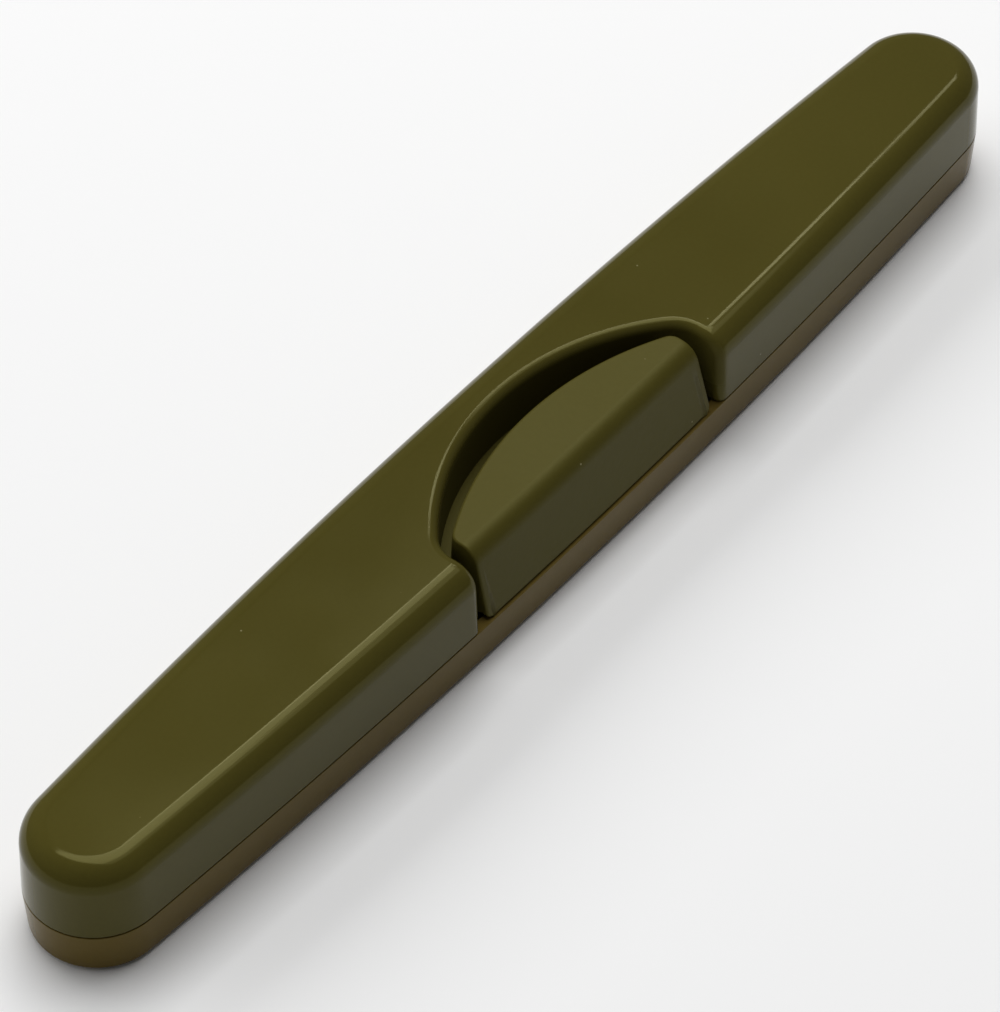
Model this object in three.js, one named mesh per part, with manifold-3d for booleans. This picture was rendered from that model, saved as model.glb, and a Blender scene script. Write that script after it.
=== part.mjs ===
// Slim clamshell case for one toothbrush: a tray, a hinged lid and a sprung push button that frees the lid.
// Millimetres. X runs along the case, the button is on the -Y side, Z is up from the underside.

import * as THREE from 'three';
import { mergeVertices } from 'three/addons/utils/BufferGeometryUtils.js';
import Module from 'manifold-3d';

const wasm = await Module();
wasm.setup();

// Whole case
const caseLength = 210;
const caseWidth = 26.4;
const endRadius = 10.2;
const baseHeight = 7.6;
const lidHeight = 12.4;
const wall = 1.8;
const floorThickness = 1.8;
const roofThickness = 1.8;
const baseDraft = 3;
const lidDraft = 2;
const topFillet = 4;
const footRounding = 1.2;
const trayRounding = 0.9;
const runningGap = 0.3;
const overrun = 2;

// Rim tongue of the base, which stands inside the lip of the lid
const tongueThickness = 0.8;
const tongueHeight = 1.6;
const lipThickness = 0.7;

// Scoop in the lid around the button, with room at the button's ends and for a fingertip behind it
const scoopEndRoom = 2.8;
const fingerRoom = 5.1;
const scoopBow = 41;
const scoopCorner = 4.5;
const scoopDraft = 4;
const scoopRim = 0.9;
const scoopWall = 1.5;
const scoopFloorRise = 3.6;
const scoopFloorThickness = 1.4;

// Push button, its depth taken back from the front of the case
const buttonHalfLength = 26.2;
const buttonDepth = 14.8;
const buttonBow = 54;
const buttonCorner = 2.6;
const buttonFootCorner = 1.2;
const buttonDraft = 2.3;
const buttonInset = 0.35;
const buttonSink = 0.2;
const buttonTopSlope = 1.5;
const buttonSlant = 14;
const buttonRidge = 3.3;
const buttonWall = 1.7;
const buttonEdge = 0.4;
const skirtDrop = 7.3;
const pressTravel = 1.6;

// Hooks of the button and the catches of the base that hold them
const hookSpacing = 36;
const hookWidth = 8;
const hookThickness = 1.5;
const hookNoseHeight = 1.6;
const hookLead = 0.7;
const catchReach = 1.3;
const catchWidth = 10;
const catchThickness = 1.4;
const catchLead = 0.7;
const catchDepth = 0.3;
const hookRootHeight = 3.4;

// Apron wall below the scoop floor, and the feet that hold the button in its slots
const apronThickness = 1.4;
const footSpacing = 28;
const footWidth = 4;
const footThickness = 1.2;
const footBarb = 0.8;
const footBarbHeight = 1.2;

// Coil springs behind the button, and the posts and pips that seat them
const springSpacing = 14;
const springRise = 2.8;
const coilRadius = 1.9;
const wireRadius = 0.18;
const springTurns = 5;
const postWidth = 6;
const postThickness = 1.4;
const postSet = 8.8;
const postHeight = 5.4;
const pipRadius = 1.2;
const pipLength = 1.1;

// Hinges
const hingeSpacing = 84;
const hingeSet = 1.5;
const barrelRadius = 2.1;
const outerKnuckle = 5;
const innerKnuckle = 6;
const pinRadius = 0.75;
const pinClearance = 0.09;
const pinInset = 0.4;
const pinChamfer = 0.2;
const webReach = 4.6;
const webBite = 0.6;
const webTurn = 50;
const openLimit = 140;
const heelReach = 2.85;
const heelSpare = 2;
const heelTurn = 34;

// Cross ribs inside both halves, and vent slots through the base floor, placed in from the ends
const ribSet = 33;
const ribPitch = 24;
const ribThickness = 1.2;
const baseRibHeight = 1.5;
const lidRibHeight = 1.3;
const ventCount = 3;
const ventPitch = 4;
const ventSet = 19;
const ventLength = 8;
const ventWidth = 1.6;

// Facets
const endSegments = 16;
const sideSegments = 8;
const filletSegments = 6;
const cornerSegments = 6;
const bowSegments = 16;
const sweepSegments = 12;
const roundSegments = 24;
const wireSides = 6;
const stepsPerTurn = 12;

// Places worked out from the sizes
const halfWidth = caseWidth / 2;
const caseHeight = baseHeight + lidHeight;
const baseRim = baseHeight - runningGap / 2;
const lidFoot = baseHeight + runningGap / 2;
const endCentre = caseLength / 2 - endRadius;
const sideRadius = (endCentre ** 2 + halfWidth ** 2 - endRadius ** 2) / (caseWidth - 2 * endRadius);
const sideCentre = sideRadius - halfWidth;
const scoopHalfLength = buttonHalfLength + scoopEndRoom;
const scoopDepth = buttonDepth + fingerRoom;
const scoopFloor = baseHeight + scoopFloorRise;
const scoopUnder = scoopFloor - scoopFloorThickness;
const buttonTop = caseHeight - buttonSink;
const buttonBack = buttonDepth - halfWidth;
const catchFace = wall + catchReach - halfWidth;
const catchTop = baseRim - catchDepth;
const catchUnder = catchTop - catchThickness;
const hookFront = catchFace + runningGap;
const hookBack = hookFront + hookThickness;
const hookTop = catchUnder - runningGap;
const hookFoot = hookTop - hookNoseHeight;
const hookTip = innerBase((hookSpacing + hookWidth) / 2, hookFoot) + runningGap;
const bayBack = hookBack + pressTravel + runningGap;
const apronFront = innerFront(scoopFloor + runningGap) + pressTravel + runningGap;
const postFront = postSet - halfWidth;
const footFront = bayBack + apronThickness + runningGap + footBarb;
const footBack = footFront + footThickness;
const springHeight = scoopFloor + springRise;
const axisX = hingeSpacing / 2;
const axisY = halfWidth - sagitta(axisX) + hingeSet;
const hingeHalfLength = innerKnuckle / 2 + runningGap + outerKnuckle;

// Radians of an angle in degrees
function radians(degrees) {
  return THREE.MathUtils.degToRad(degrees);
}

// Sideways run for each millimetre along a line at an angle in degrees
function slope(degrees) {
  return Math.tan(radians(degrees));
}

// How far the long side of the case has curved inwards at a distance from its middle
function sagitta(x) {
  return sideRadius - Math.sqrt(sideRadius ** 2 - x ** 2);
}

// Y of the inner face of the base's front wall
function innerBase(x, z) {
  return wall - halfWidth + sagitta(x) + (baseHeight - z) * slope(baseDraft);
}

// Y of the button's inner front face at a height
function innerFront(z) {
  const outer = buttonInset - halfWidth + (z - lidFoot) * slope(buttonSlant);
  return outer + buttonWall / Math.cos(radians(buttonSlant));
}

// Points along an arc, both ends included
function arc(centreX, centreY, radius, from, to, segments) {
  const curve = new THREE.EllipseCurve(centreX, centreY, radius, radius, from, to, to < from);
  return curve.getPoints(segments);
}

// Solid from a closed geometry
function toSolid(geometry) {
  const bare = geometry.clone();
  bare.deleteAttribute('normal');
  bare.deleteAttribute('uv');
  const merged = mergeVertices(bare);
  const vertProperties = new Float32Array(merged.attributes.position.array);
  const triVerts = new Uint32Array(merged.index.array);
  return new wasm.Manifold(new wasm.Mesh({ numProp: 3, vertProperties, triVerts }));
}

// Named mesh from a solid
function toMesh(name, solid, material) {
  const { vertProperties, triVerts } = solid.getMesh();
  const geometry = new THREE.BufferGeometry();
  geometry.setAttribute('position', new THREE.BufferAttribute(vertProperties, 3));
  geometry.setIndex(new THREE.BufferAttribute(triVerts, 1));
  const mesh = new THREE.Mesh(geometry, material);
  mesh.name = name;
  return mesh;
}

// Closed solid through convex rings, all with the same number of points
function loft(rings) {
  const count = rings[0].length;
  const last = (rings.length - 1) * count;
  const index = [];
  for (let k = 2; k < count; k++) {
    index.push(0, k, k - 1);
    index.push(last, last + k - 1, last + k);
  }
  for (let r = 0; r < last; r += count) {
    for (let k = 0; k < count; k++) {
      const next = (k + 1) % count;
      index.push(r + k, r + next, r + count + next);
      index.push(r + k, r + count + next, r + count + k);
    }
  }
  const geometry = new THREE.BufferGeometry();
  geometry.setFromPoints(rings.flat());
  geometry.setIndex(index);
  return toSolid(geometry);
}

// Flat outline raised to a height
function ring(outline, z) {
  return outline.map((point) => new THREE.Vector3(point.x, point.y, z));
}

// Block between two corners
function block(x0, x1, y0, y1, z0, z1) {
  const box = new THREE.BoxGeometry(x1 - x0, y1 - y0, z1 - z0);
  return toSolid(box.translate((x0 + x1) / 2, (y0 + y1) / 2, (z0 + z1) / 2));
}

// Solid with an outline of [y, z] points, drawn along X
function bar(outline, x0, x1) {
  const shape = new THREE.Shape(outline.map(([y, z]) => new THREE.Vector2(y, z)));
  const geometry = new THREE.ExtrudeGeometry(shape, { depth: x1 - x0, bevelEnabled: false });
  const along = new THREE.Vector3(1, 0, 0);
  const across = new THREE.Vector3(0, 1, 0);
  const up = new THREE.Vector3(0, 0, 1);
  geometry.applyMatrix4(new THREE.Matrix4().makeBasis(across, up, along));
  return toSolid(geometry.translate(x0, 0, 0));
}

// Round rod along X
function rodX(radius, x0, x1, y, z) {
  const rod = new THREE.CylinderGeometry(radius, radius, x1 - x0, roundSegments);
  return toSolid(rod.rotateZ(Math.PI / 2).translate((x0 + x1) / 2, y, z));
}

// Round rod along Y
function rodY(radius, x, y0, y1, z) {
  const rod = new THREE.CylinderGeometry(radius, radius, y1 - y0, roundSegments);
  return toSolid(rod.translate(x, (y0 + y1) / 2, z));
}

// Outline of the case: two long bowed sides that run into round ends, drawn in by an inset
function caseOutline(inset) {
  const turn = Math.atan2(sideCentre, endCentre);
  const side = sideRadius - inset;
  const end = endRadius - inset;
  const right = arc(endCentre, 0, end, -turn, turn, endSegments);
  const back = arc(0, -sideCentre, side, turn, Math.PI - turn, sideSegments);
  const left = arc(-endCentre, 0, end, Math.PI - turn, Math.PI + turn, endSegments);
  const front = arc(0, sideCentre, side, Math.PI + turn, 2 * Math.PI - turn, sideSegments);
  return [right, back, left, front].flatMap((part) => part.slice(1));
}

// Rings of the lid from a low level up to a rounded top
function lidRings(inset, low, top, fillet) {
  const shoulder = top - fillet;
  const draw = (z) => inset + (z - baseHeight) * slope(lidDraft);
  const rings = [ring(caseOutline(draw(low)), low)];
  for (let k = 0; k <= filletSegments; k++) {
    const angle = (k / filletSegments) * (Math.PI / 2);
    const drawn = draw(shoulder) + fillet * (1 - Math.cos(angle));
    rings.push(ring(caseOutline(drawn), shoulder + fillet * Math.sin(angle)));
  }
  return rings;
}

// Rings of the base from a rounded bottom up to a high level
function baseRings(inset, low, high, rounding) {
  const draw = (z) => inset + (baseHeight - z) * slope(baseDraft);
  const rings = [];
  for (let k = 0; k <= filletSegments; k++) {
    const angle = (1 - k / filletSegments) * (Math.PI / 2);
    const drawn = draw(low + rounding) + rounding * (1 - Math.cos(angle));
    rings.push(ring(caseOutline(drawn), low + rounding * (1 - Math.sin(angle))));
  }
  rings.push(ring(caseOutline(draw(high)), high));
  return rings;
}

// Straight-walled solid with the outline of the case
function casePrism(inset, low, high) {
  const outline = caseOutline(inset);
  return loft([ring(outline, low), ring(outline, high)]);
}

// Outline with straight sides, a bowed back and round back corners, open towards the front
function bowedOutline({ half, back, bow, corner }, inset) {
  const centreY = back - bow;
  const cornerX = half - corner;
  const cornerY = centreY + Math.sqrt((bow - corner) ** 2 - cornerX ** 2);
  const turn = Math.atan2(cornerY - centreY, cornerX);
  const front = -halfWidth - overrun;
  const right = arc(cornerX, cornerY, corner - inset, 0, turn, cornerSegments);
  const rear = arc(0, centreY, bow - inset, turn, Math.PI - turn, bowSegments);
  const left = arc(-cornerX, cornerY, corner - inset, Math.PI - turn, Math.PI, cornerSegments);
  const ends = [new THREE.Vector2(inset - half, front), new THREE.Vector2(half - inset, front)];
  return [...ends, ...right, ...rear.slice(1), ...left.slice(1)];
}

const scoopPlan = {
  half: scoopHalfLength,
  back: scoopDepth - halfWidth,
  bow: scoopBow,
  corner: scoopCorner,
};

const buttonPlan = {
  half: buttonHalfLength,
  back: buttonBack,
  bow: buttonBow,
  corner: buttonCorner,
};

// Solid with the tapered outline of the scoop
function scoopSolid(inset, low, high) {
  const draw = (z) => inset + (caseHeight - z) * slope(scoopDraft);
  return loft([low, high].map((z) => ring(bowedOutline(scoopPlan, draw(z)), z)));
}

// Space that the round rim of the scoop takes out of the roof
function scoopRimSpace() {
  const rings = [];
  const low = caseHeight - scoopRim;
  for (let k = 0; k <= filletSegments; k++) {
    const angle = (k / filletSegments) * (Math.PI / 2);
    const drawn = scoopRim * slope(scoopDraft) - scoopRim * (1 - Math.cos(angle));
    rings.push(ring(bowedOutline(scoopPlan, drawn), low + scoopRim * Math.sin(angle)));
  }
  rings.push(ring(bowedOutline(scoopPlan, -scoopRim), caseHeight + overrun));
  return loft(rings);
}

// Both mirrored copies of a solid made for the +X side
function bothSides(solid) {
  return solid.add(solid.mirror([1, 0, 0]));
}

// Profile that joins a barrel at the hinge axis to the wall above (+1) or below (-1) the parting line
function knuckleWeb(side) {
  const wallY = axisY - hingeSet - webBite;
  const turn = radians(webTurn);
  const near = baseHeight + (side * runningGap) / 2;
  return [
    [wallY, near],
    [axisY, near],
    [axisY + barrelRadius * Math.cos(turn), baseHeight + side * barrelRadius * Math.sin(turn)],
    [wallY, baseHeight + side * webReach],
  ];
}

// One knuckle between two stations along X
function knuckle(side, x0, x1) {
  const barrel = rodX(barrelRadius, x0, x1, axisY, baseHeight);
  return barrel.add(bar(knuckleWeb(side), x0, x1));
}

// Bore for the pin, right through a hinge
function hingeBore() {
  const reach = hingeHalfLength + overrun;
  return rodX(pinRadius + pinClearance, axisX - reach, axisX + reach, axisY, baseHeight);
}

// Room that one half's wall leaves for the other half's knuckle
function knuckleRoom(x0, x1) {
  return rodX(barrelRadius + runningGap, x0 - runningGap, x1 + runningGap, axisY, baseHeight);
}

// Heel on the lid's knuckle, which meets the back of the base when the lid is fully open
function hingeHeel() {
  const contact = Math.PI - Math.acos(hingeSet / heelReach);
  const lead = radians(openLimit + heelSpare) - contact;
  const outer = arc(axisY, baseHeight, heelReach, lead, lead + radians(heelTurn), cornerSegments);
  const outline = [[axisY, baseHeight], ...outer.map((point) => [point.x, point.y])];
  return bar(outline, axisX - innerKnuckle / 2, axisX + innerKnuckle / 2);
}

const innerKnuckleSpan = [axisX - innerKnuckle / 2, axisX + innerKnuckle / 2];
const outerKnuckleSpans = [
  [axisX - hingeHalfLength, axisX - hingeHalfLength + outerKnuckle],
  [axisX + hingeHalfLength - outerKnuckle, axisX + hingeHalfLength],
];

// Cross ribs on a floor or roof, clipped to the inside of their shell
function crossRibs(z0, z1, within) {
  const outermost = caseLength / 2 - ribSet;
  const stations = [outermost - ribPitch, outermost];
  const ribs = stations.map((x) => {
    return block(x - ribThickness / 2, x + ribThickness / 2, -halfWidth, halfWidth, z0, z1);
  });
  return bothSides(ribs[0].add(ribs[1])).intersect(within);
}

// Row of round-ended vent slots through the floor, near one end
function ventSlots() {
  const slots = [];
  for (let k = 0; k < ventCount; k++) {
    const x = caseLength / 2 - ventSet - k * ventPitch;
    const straight = (ventLength - ventWidth) / 2;
    const front = arc(x, -straight, ventWidth / 2, Math.PI, 2 * Math.PI, cornerSegments);
    const back = arc(x, straight, ventWidth / 2, 0, Math.PI, cornerSegments);
    const outline = [...front, ...back];
    slots.push(loft([ring(outline, -overrun), ring(outline, floorThickness + overrun)]));
  }
  return slots.reduce((all, slot) => all.add(slot));
}

// Catch on the inner face of the front wall, under which one hook lies
function frontCatch() {
  const root = wall / 2 - halfWidth;
  const outline = [
    [root, catchUnder],
    [catchFace, catchUnder],
    [catchFace, catchTop - catchLead],
    [catchFace - catchLead, catchTop],
    [root, catchTop],
  ];
  return bar(outline, (hookSpacing - catchWidth) / 2, (hookSpacing + catchWidth) / 2);
}

// Rim tongue, left out along the front where the button and the scoop walls come down
function rimTongue() {
  const inset = wall - tongueThickness;
  const top = baseRim + tongueHeight;
  const outer = casePrism(inset, baseRim - tongueHeight, top);
  const inner = casePrism(wall, baseRim - tongueHeight - overrun, top + overrun);
  const reach = scoopHalfLength + scoopWall + runningGap;
  const gap = block(-reach, reach, -caseWidth, 0, baseRim - tongueHeight - overrun, top + overrun);
  return outer.subtract(inner).subtract(gap);
}

// Base with its tray, catches, ribs, vents and the outer knuckles of both hinges
function baseShell() {
  const outer = loft(baseRings(0, 0, baseRim, footRounding));
  const inner = loft(baseRings(wall, floorThickness, baseRim + overrun, trayRounding));
  let shell = outer.subtract(inner).add(rimTongue());
  shell = shell.add(crossRibs(floorThickness / 2, floorThickness + baseRibHeight, outer));
  shell = shell.add(bothSides(frontCatch()));
  shell = shell.subtract(bothSides(ventSlots()));
  shell = shell.subtract(bothSides(knuckleRoom(...innerKnuckleSpan)));
  for (const span of outerKnuckleSpans) {
    shell = shell.add(bothSides(knuckle(-1, ...span)));
  }
  return shell.subtract(bothSides(hingeBore()));
}

// Walls and floor of the scoop, with an apron in front of the floor down to the lid's foot
function scoopWalls(outer) {
  const under = block(-caseLength, caseLength, apronFront + apronThickness, caseWidth, 0, scoopUnder);
  return scoopSolid(-scoopWall, lidFoot, caseHeight).subtract(under).intersect(outer);
}

// Space inside the scoop, and the strip in front of its apron where the button's front hangs
function scoopSpace() {
  const above = scoopSolid(0, scoopFloor, caseHeight + overrun);
  const behind = block(-caseLength, caseLength, apronFront, caseWidth, 0, scoopFloor + overrun);
  const strip = scoopSolid(0, lidFoot - overrun, scoopFloor + overrun).subtract(behind);
  return above.add(strip).add(scoopRimSpace());
}

// Walls and space of the bay behind one hook
function hookBay() {
  const centre = hookSpacing / 2;
  const inner = hookWidth / 2 + runningGap;
  const outer = inner + apronThickness;
  const walls = block(
    centre - outer, centre + outer, apronFront, bayBack + apronThickness, lidFoot, scoopFloor,
  );
  const space = block(
    centre - inner, centre + inner, apronFront - overrun, bayBack, lidFoot - overrun, scoopFloor + overrun,
  );
  return { walls: bothSides(walls), space: bothSides(space) };
}

// Slot in the scoop floor for one foot of the button, long enough for its travel
function footSlot() {
  const half = footWidth / 2 + runningGap;
  const centre = footSpacing / 2;
  const back = footBack + pressTravel + runningGap;
  const front = footFront - runningGap;
  return block(centre - half, centre + half, front, back, scoopUnder - overrun, scoopFloor + overrun);
}

// Post and pip that one spring pushes against
function springPost() {
  const centre = springSpacing / 2;
  const half = postWidth / 2;
  const post = block(
    centre - half, centre + half, postFront, postFront + postThickness,
    scoopUnder, scoopFloor + postHeight,
  );
  return post.add(rodY(pipRadius, centre, postFront - pipLength, postFront + postThickness, springHeight));
}

// Lid with its scoop, rabbeted lip, ribs and the inner knuckles of both hinges
function lidShell() {
  const outer = loft(lidRings(0, lidFoot, caseHeight, topFillet));
  const cavityTop = caseHeight - roofThickness;
  const cavity = loft(lidRings(wall, lidFoot - overrun, cavityTop, topFillet - wall));
  const rabbetTop = baseRim + tongueHeight + runningGap;
  const rabbet = casePrism(lipThickness, lidFoot - overrun, rabbetTop);
  const bay = hookBay();
  let shell = outer.subtract(cavity).subtract(rabbet);
  shell = shell.add(crossRibs(cavityTop - lidRibHeight, cavityTop + roofThickness / 2, outer));
  shell = shell.add(scoopWalls(outer)).subtract(scoopSpace());
  shell = shell.add(bay.walls).subtract(bay.space);
  shell = shell.subtract(bothSides(footSlot())).add(bothSides(springPost()));
  for (const span of outerKnuckleSpans) {
    shell = shell.subtract(bothSides(knuckleRoom(...span)));
  }
  shell = shell.add(bothSides(knuckle(1, ...innerKnuckleSpan).add(hingeHeel())));
  return shell.subtract(bothSides(hingeBore()));
}

// Side profile of the button as [y, z] points, drawn in by an inset
function buttonProfile(inset) {
  const slant = radians(buttonSlant);
  const fall = radians(buttonTopSlope);
  const radius = buttonRidge - inset;
  const frontY = buttonInset - halfWidth + inset / Math.cos(slant);
  const topZ = buttonTop - inset / Math.cos(fall);
  const back = buttonBack + overrun;
  const topAt = (y) => topZ - (buttonBack - y) * Math.tan(fall);
  const frontAt = (z) => frontY + (z - lidFoot) * Math.tan(slant);
  const centreBase = topAt(0) - radius / Math.cos(fall);
  const centreLean = 1 - Math.tan(slant) * Math.tan(fall);
  const centreY = (frontAt(centreBase) + radius / Math.cos(slant)) / centreLean;
  const centreZ = centreBase + centreY * Math.tan(fall);
  const ridge = arc(centreY, centreZ, radius, Math.PI / 2 + fall, Math.PI - slant, filletSegments);
  return [
    [frontAt(lidFoot - overrun), lidFoot - overrun],
    [back, lidFoot - overrun],
    [back, topAt(back)],
    ...ridge.map((point) => [point.x, point.y]),
  ];
}

// Button profile carried along the bowed front of the case
function buttonSweep(inset) {
  const profile = buttonProfile(inset);
  const reach = buttonHalfLength + overrun;
  const rings = [];
  for (let k = 0; k <= sweepSegments; k++) {
    const x = -reach + (2 * reach * k) / sweepSegments;
    rings.push(profile.map(([y, z]) => new THREE.Vector3(x, y + sagitta(x), z)));
  }
  return loft(rings);
}

// Tapered plan of the button, with its top edge rounded over
function buttonColumn(inset, low, edge) {
  const draw = (z) => inset + (z - lidFoot) * slope(buttonDraft);
  const rings = [ring(bowedOutline(buttonPlan, draw(low)), low)];
  const shoulder = buttonTop - edge;
  for (let k = 0; k <= filletSegments; k++) {
    const angle = (k / filletSegments) * (Math.PI / 2);
    const drawn = draw(shoulder) + edge * (1 - Math.cos(angle));
    rings.push(ring(bowedOutline(buttonPlan, drawn), shoulder + edge * Math.sin(angle)));
  }
  return loft(rings);
}

// Front view of the button, straight-sided with round lower corners
function buttonFace() {
  const side = buttonHalfLength - buttonFootCorner;
  const centreZ = lidFoot + buttonFootCorner;
  const left = arc(-side, centreZ, buttonFootCorner, Math.PI, 1.5 * Math.PI, cornerSegments);
  const right = arc(side, centreZ, buttonFootCorner, 1.5 * Math.PI, 2 * Math.PI, cornerSegments);
  const top = [
    new THREE.Vector2(buttonHalfLength, caseHeight),
    new THREE.Vector2(-buttonHalfLength, caseHeight),
  ];
  const outline = [...left, ...right, ...top];
  const rings = [caseWidth, -caseWidth].map((y) => outline.map(({ x, y: z }) => new THREE.Vector3(x, y, z)));
  return loft(rings);
}

// Part of the button's shell that would meet the scoop floor and its apron
function buttonUndercut() {
  const reach = caseLength / 2;
  const low = scoopFloor + runningGap;
  const skirtFoot = buttonTop - skirtDrop;
  const under = block(-reach, reach, innerFront(low), caseWidth, 0, low);
  return under.add(block(-reach, reach, footFront, caseWidth, 0, skirtFoot));
}

// Hook leg that hangs from the button's front and reaches under one catch
function hookLeg() {
  const centre = hookSpacing / 2;
  const rootFront = buttonInset + buttonWall / 2 - halfWidth;
  const rootFoot = lidFoot + runningGap;
  const rootTop = rootFoot + hookRootHeight;
  const outline = [
    [hookBack, hookFoot],
    [hookBack, rootTop],
    [rootFront + (rootTop - lidFoot) * slope(buttonSlant), rootTop],
    [rootFront + (rootFoot - lidFoot) * slope(buttonSlant), rootFoot],
    [hookFront, rootFoot],
    [hookFront, hookTop],
    [hookTip, hookTop],
    [hookTip, hookFoot + hookLead],
    [hookTip + hookLead, hookFoot],
  ];
  return bar(outline.reverse(), centre - hookWidth / 2, centre + hookWidth / 2);
}

// Foot that passes through a slot in the scoop floor and holds with a barb under it
function buttonFoot() {
  const centre = footSpacing / 2;
  const half = footWidth / 2;
  const barbTop = scoopUnder - runningGap;
  const top = buttonTop - buttonWall / 2 - (buttonBack - footFront) * slope(buttonTopSlope);
  const outline = [
    [footBack, barbTop - footBarbHeight],
    [footBack, top],
    [footFront, top],
    [footFront, barbTop],
    [footFront - footBarb, barbTop],
    [footFront, barbTop - footBarbHeight],
  ];
  return bar(outline, centre - half, centre + half);
}

// Hollow button with its hooks, feet and spring pips
function pushButton() {
  const outer = buttonSweep(0).intersect(buttonColumn(0, lidFoot, buttonEdge)).intersect(buttonFace());
  const hollow = buttonSweep(buttonWall).intersect(buttonColumn(buttonWall, lidFoot - overrun, buttonEdge));
  let shell = outer.subtract(hollow).subtract(buttonUndercut());
  shell = shell.add(bothSides(hookLeg())).add(bothSides(buttonFoot()));
  const face = innerFront(springHeight);
  const pip = rodY(pipRadius, springSpacing / 2, face - buttonWall / 2, face + pipLength, springHeight);
  return shell.add(bothSides(pip));
}

// Path of a coil spring along Y
class CoilPath extends THREE.Curve {
  constructor(x, y0, y1, z) {
    super();
    Object.assign(this, { x, y0, y1, z });
  }

  getPoint(t, target = new THREE.Vector3()) {
    const angle = 2 * Math.PI * springTurns * t;
    const x = this.x + coilRadius * Math.cos(angle);
    const z = this.z + coilRadius * Math.sin(angle);
    return target.set(x, THREE.MathUtils.lerp(this.y0, this.y1, t), z);
  }
}

// Coil spring between the button's front and its post
function coilSpring(side) {
  const gap = runningGap + wireRadius;
  const y0 = innerFront(springHeight + coilRadius) + gap;
  const path = new CoilPath((side * springSpacing) / 2, y0, postFront - gap, springHeight);
  const section = new THREE.Shape();
  section.absarc(0, 0, wireRadius, 0, 2 * Math.PI);
  const steps = springTurns * stepsPerTurn;
  const geometry = new THREE.ExtrudeGeometry(section, {
    steps, extrudePath: path, curveSegments: wireSides, bevelEnabled: false,
  });
  return toSolid(geometry);
}

// Steel pin through one hinge, chamfered at both ends
function hingePin(side) {
  const half = hingeHalfLength - pinInset;
  const tip = pinRadius - pinChamfer;
  const profile = [
    new THREE.Vector2(0, -half),
    new THREE.Vector2(tip, -half),
    new THREE.Vector2(pinRadius, pinChamfer - half),
    new THREE.Vector2(pinRadius, half - pinChamfer),
    new THREE.Vector2(tip, half),
    new THREE.Vector2(0, half),
  ];
  const pin = new THREE.LatheGeometry(profile, roundSegments);
  return toSolid(pin.rotateZ(Math.PI / 2).translate(side * axisX, axisY, baseHeight));
}

const lidPlastic = new THREE.MeshStandardMaterial({ color: 0x4a451f, roughness: 0.28, flatShading: true });
const basePlastic = new THREE.MeshStandardMaterial({ color: 0x463e2d, roughness: 0.32, flatShading: true });
const buttonPlastic = new THREE.MeshStandardMaterial({ color: 0x524e28, roughness: 0.5, flatShading: true });
const steel = new THREE.MeshStandardMaterial({ color: 0xb4b4b0, roughness: 0.35, metalness: 1 });

const toothbrushCase = new THREE.Group();
toothbrushCase.add(toMesh('base_shell', baseShell(), basePlastic));
toothbrushCase.add(toMesh('lid_shell', lidShell(), lidPlastic));
toothbrushCase.add(toMesh('push_button', pushButton(), buttonPlastic));
for (const [name, side] of [['left', -1], ['right', 1]]) {
  toothbrushCase.add(toMesh(`button_spring_${name}`, coilSpring(side), steel));
  toothbrushCase.add(toMesh(`hinge_pin_${name}`, hingePin(side), steel));
}

export default toothbrushCase;
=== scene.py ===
"""Looks of a slim hinged toothbrush case: base, lid, push button, button springs and hinge pins."""

from math import acos, asin, atan2, cos, pi, radians, sin, sqrt, tan
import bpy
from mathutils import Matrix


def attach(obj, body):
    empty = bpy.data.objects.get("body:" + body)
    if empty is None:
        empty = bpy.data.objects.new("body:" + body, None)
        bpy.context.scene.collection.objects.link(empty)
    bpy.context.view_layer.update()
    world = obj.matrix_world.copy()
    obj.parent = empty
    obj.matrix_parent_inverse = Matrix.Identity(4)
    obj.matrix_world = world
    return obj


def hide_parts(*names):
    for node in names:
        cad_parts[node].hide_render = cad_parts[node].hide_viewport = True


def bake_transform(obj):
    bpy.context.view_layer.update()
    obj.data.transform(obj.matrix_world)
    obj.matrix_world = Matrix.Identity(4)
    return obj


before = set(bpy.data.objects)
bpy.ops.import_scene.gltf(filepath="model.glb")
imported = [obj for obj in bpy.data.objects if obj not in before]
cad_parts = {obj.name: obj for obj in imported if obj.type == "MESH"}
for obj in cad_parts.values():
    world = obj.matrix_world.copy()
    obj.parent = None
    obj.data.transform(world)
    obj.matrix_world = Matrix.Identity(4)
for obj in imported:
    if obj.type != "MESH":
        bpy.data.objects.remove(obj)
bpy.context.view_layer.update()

from types import SimpleNamespace

import bmesh
import bpy
from bpy.props import FloatProperty, FloatVectorProperty, PointerProperty
from mathutils import Matrix, Vector

bl_info = {
    "name": "Toothbrush case",
    "version": (1, 0, 0),
    "blender": (4, 5, 0),
    "location": "3D View > Sidebar > Case",
    "description": "Builds a hinged toothbrush case with a sprung push button",
    "category": "Add Mesh",
}

MM = 0.001
OVERRUN = 2 * MM
SIDES = {-1: "left", 1: "right"}
VENTS = 3

# Counts of facets along each kind of curve
HALF_SIDE_STEPS = 30
END_STEPS = 44
FILLET_STEPS = 12
CORNER_STEPS = 12
FLARE_STEPS = 4
BOW_STEPS = 56
BUTTON_STEPS = 48
ROUND_STEPS = 48
WIRE_STEPS = 10
COIL_STEPS = 40

# Angles above which an edge is shaded sharp, and above which it is rounded over
CREASE = radians(32)
CORNER = radians(40)

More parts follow.
